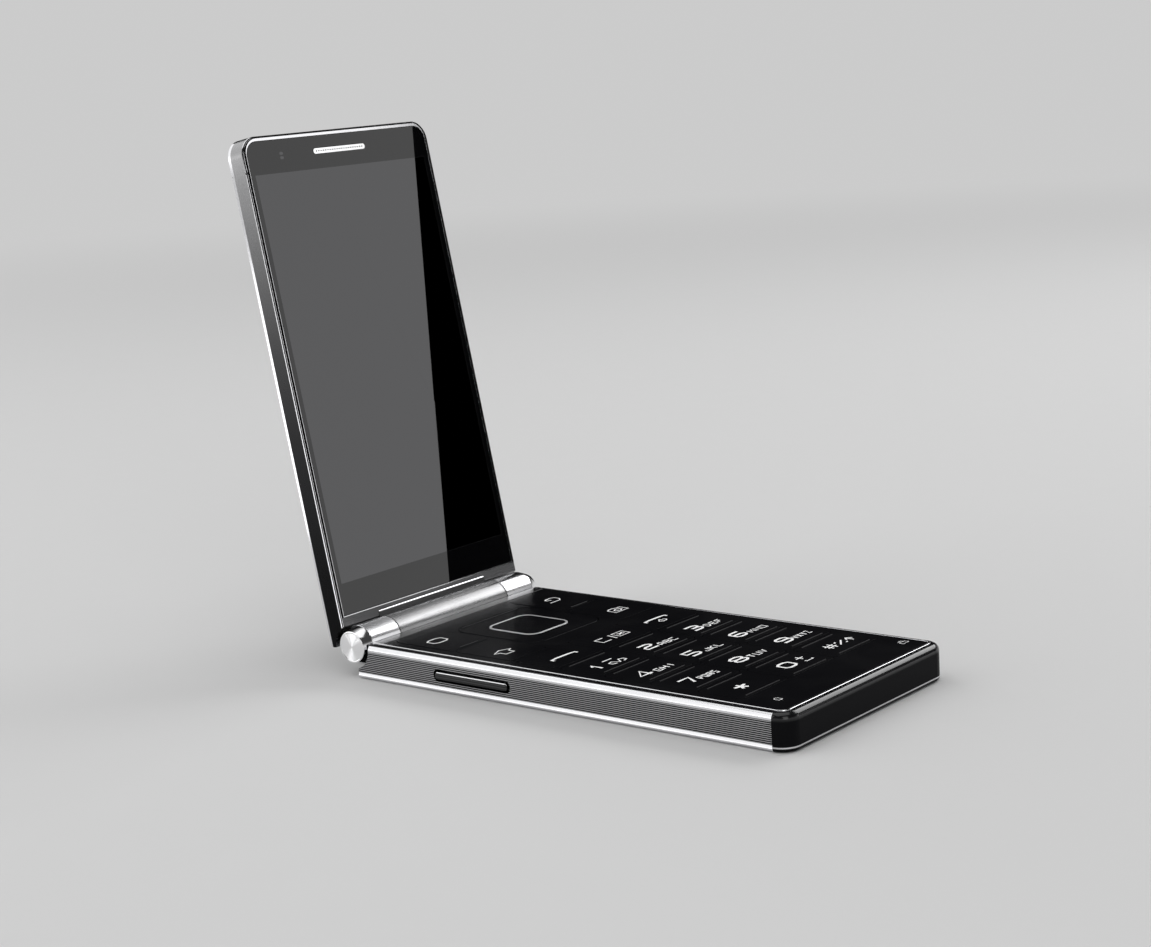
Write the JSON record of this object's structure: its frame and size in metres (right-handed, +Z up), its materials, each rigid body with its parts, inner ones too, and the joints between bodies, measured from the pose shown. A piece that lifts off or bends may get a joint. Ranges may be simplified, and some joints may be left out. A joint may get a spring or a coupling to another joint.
{
  "type": "flip phone",
  "caption": "Folding phone, black keypad base with ribbed silver sides and a large-display metal lid standing open on a three-knuckle barrel hinge.",
  "frame": {"origin": "centre of the base's underside, halfway between its near end and the hinge axis", "axes": "+X along the hinge towards the base's right side, +Y from the near end of the keypad towards the hinge, +Z up out of the keypad"},
  "size_m": [0.0615, 0.1461, 0.1218],
  "materials": {
    "black_shell": "polished black",
    "polished_rail": "polished, silver",
    "ribbed_side": "fine ribs, dark satin",
    "bright_trim": "polished",
    "keypad_face": "smooth black",
    "satin_strip": "satin",
    "spring_steel": "plain",
    "circuit_board": "solder mask",
    "battery_wrap": "wrapped",
    "black_cover": "fine matt",
    "bronze_bush": "plain",
    "volume_key": "fine ribs, satin",
    "key_face": "smooth black",
    "carrier_plastic": "plain",
    "lid_metal": "satin with bright edges",
    "break_plastic": "plain",
    "display_glass": "clear, polished",
    "display_module": "unlit black",
    "grille_metal": "pierced",
    "flash_lens": "frosted",
    "flex_film": "film"
  },
  "bodies": {
    "base": {"base_housing": "black_shell", "rail_left": "polished_rail", "rail_right": "polished_rail", "rib_panel_left": "ribbed_side", "rib_panel_right": "ribbed_side", "keypad_bead": "bright_trim", "keypad_plate": "keypad_face", "hinge_strip": "satin_strip", "dome_sheet": "spring_steel", "main_board": "circuit_board", "battery": "battery_wrap", "rear_cover": "black_cover", "loudspeaker": "black_cover", "usb_socket": "spring_steel", "vibration_motor": "spring_steel", "side_key_board": "circuit_board", "knuckle_left": "satin_strip", "knuckle_right": "satin_strip", "hinge_caps": "bright_trim", "hinge_bushes": "bronze_bush", "friction_washers": "spring_steel", "housing_screws": "spring_steel"},
    "lid": {"lid_frame": "lid_metal", "lid_back": "black_cover", "antenna_breaks": "break_plastic", "display_glass": "display_glass", "display_panel": "display_module", "earpiece_grille": "grille_metal", "receiver": "black_cover", "lid_board": "circuit_board", "camera_module": "black_cover", "camera_ring": "bright_trim", "flash_lens": "flash_lens", "lid_barrel": "satin_strip", "hinge_pins": "spring_steel", "hinge_flex": "flex_film"},
    "volume_key": {"volume_rocker": "volume_key"},
    "key_1": {"key_1": "key_face"},
    "key_2": {"key_2": "key_face"},
    "key_3": {"key_3": "key_face"},
    "key_4": {"key_4": "key_face"},
    "key_5": {"key_5": "key_face"},
    "key_6": {"key_6": "key_face"},
    "key_7": {"key_7": "key_face"},
    "key_8": {"key_8": "key_face"},
    "key_9": {"key_9": "key_face"},
    "key_star": {"key_star": "key_face"},
    "key_0": {"key_0": "key_face"},
    "key_hash": {"key_hash": "key_face"},
    "key_call": {"key_call": "key_face"},
    "key_clear": {"key_clear": "key_face"},
    "key_end": {"key_end": "key_face"},
    "key_menu": {"key_menu": "key_face"},
    "key_back": {"key_back": "key_face"},
    "key_options": {"key_options": "key_face"},
    "key_camera": {"key_camera": "key_face"},
    "middle_key": {"nav_ok": "key_face", "ok_trim": "bright_trim"},
    "ring_carrier": {"nav_carrier": "carrier_plastic"},
    "ring_key": {"nav_ring": "keypad_face"}
  },
  "joints": [
    {"name": "lid_hinge", "type": "hinge", "parent": "base", "child": "lid", "pos_m": [0, 0.059, 0.0071], "axis": [-1, 0, 0], "range_deg": [-100.5, 54.5]},
    {"name": "volume_tilt", "type": "hinge", "parent": "base", "child": "volume_key", "pos_m": [-0.0283, 0.0233, 0.00398], "axis": [0, 0, 1], "range_deg": [-1.3, 1.3], "stiffness_Nm_per_rad": 0.6},
    {"name": "key_1_press", "type": "slide", "parent": "base", "child": "key_1", "axis": [0, 0, -1], "range_m": [0, 0.00025], "stiffness_N_per_m": 1500, "springref_m": -0.0001},
    {"name": "key_2_press", "type": "slide", "parent": "base", "child": "key_2", "axis": [0, 0, -1], "range_m": [0, 0.00025], "stiffness_N_per_m": 1500, "springref_m": -0.0001},
    {"name": "key_3_press", "type": "slide", "parent": "base", "child": "key_3", "axis": [0, 0, -1], "range_m": [0, 0.00025], "stiffness_N_per_m": 1500, "springref_m": -0.0001},
    {"name": "key_4_press", "type": "slide", "parent": "base", "child": "key_4", "axis": [0, 0, -1], "range_m": [0, 0.00025], "stiffness_N_per_m": 1500, "springref_m": -0.0001},
    {"name": "key_5_press", "type": "slide", "parent": "base", "child": "key_5", "axis": [0, 0, -1], "range_m": [0, 0.00025], "stiffness_N_per_m": 1500, "springref_m": -0.0001},
    {"name": "key_6_press", "type": "slide", "parent": "base", "child": "key_6", "axis": [0, 0, -1], "range_m": [0, 0.00025], "stiffness_N_per_m": 1500, "springref_m": -0.0001},
    {"name": "key_7_press", "type": "slide", "parent": "base", "child": "key_7", "axis": [0, 0, -1], "range_m": [0, 0.00025], "stiffness_N_per_m": 1500, "springref_m": -0.0001},
    {"name": "key_8_press", "type": "slide", "parent": "base", "child": "key_8", "axis": [0, 0, -1], "range_m": [0, 0.00025], "stiffness_N_per_m": 1500, "springref_m": -0.0001},
    {"name": "key_9_press", "type": "slide", "parent": "base", "child": "key_9", "axis": [0, 0, -1], "range_m": [0, 0.00025], "stiffness_N_per_m": 1500, "springref_m": -0.0001},
    {"name": "key_star_press", "type": "slide", "parent": "base", "child": "key_star", "axis": [0, 0, -1], "range_m": [0, 0.00025], "stiffness_N_per_m": 1500, "springref_m": -0.0001},
    {"name": "key_0_press", "type": "slide", "parent": "base", "child": "key_0", "axis": [0, 0, -1], "range_m": [0, 0.00025], "stiffness_N_per_m": 1500, "springref_m": -0.0001},
    {"name": "key_hash_press", "type": "slide", "parent": "base", "child": "key_hash", "axis": [0, 0, -1], "range_m": [0, 0.00025], "stiffness_N_per_m": 1500, "springref_m": -0.0001},
    {"name": "key_call_press", "type": "slide", "parent": "base", "child": "key_call", "axis": [0, 0, -1], "range_m": [0, 0.00025], "stiffness_N_per_m": 1500, "springref_m": -0.0001},
    {"name": "key_clear_press", "type": "slide", "parent": "base", "child": "key_clear", "axis": [0, 0, -1], "range_m": [0, 0.00025], "stiffness_N_per_m": 1500, "springref_m": -0.0001},
    {"name": "key_end_press", "type": "slide", "parent": "base", "child": "key_end", "axis": [0, 0, -1], "range_m": [0, 0.00025], "stiffness_N_per_m": 1500, "springref_m": -0.0001},
    {"name": "key_menu_press", "type": "slide", "parent": "base", "child": "key_menu", "axis": [0, 0, -1], "range_m": [0, 0.00025], "stiffness_N_per_m": 1500, "springref_m": -0.0001},
    {"name": "key_back_press", "type": "slide", "parent": "base", "child": "key_back", "axis": [0, 0, -1], "range_m": [0, 0.00025], "stiffness_N_per_m": 1500, "springref_m": -0.0001},
    {"name": "key_options_press", "type": "slide", "parent": "base", "child": "key_options", "axis": [0, 0, -1], "range_m": [0, 0.00025], "stiffness_N_per_m": 1500, "springref_m": -0.0001},
    {"name": "key_camera_press", "type": "slide", "parent": "base", "child": "key_camera", "axis": [0, 0, -1], "range_m": [0, 0.00025], "stiffness_N_per_m": 1500, "springref_m": -0.0001},
    {"name": "middle_key_press", "type": "slide", "parent": "base", "child": "middle_key", "axis": [0, 0, -1], "range_m": [0, 0.00025], "stiffness_N_per_m": 1500, "springref_m": -0.0001},
    {"name": "ring_tilt_up_down", "type": "hinge", "parent": "base", "child": "ring_carrier", "pos_m": [0, 0.03225, 0.00607], "axis": [1, 0, 0], "range_deg": [-1.2, 1.2], "stiffness_Nm_per_rad": 0.3},
    {"name": "ring_tilt_left_right", "type": "hinge", "parent": "ring_carrier", "child": "ring_key", "pos_m": [0, 0.03225, 0.00695], "axis": [0, 1, 0], "range_deg": [-1.2, 1.2], "stiffness_Nm_per_rad": 0.3}
  ]
}
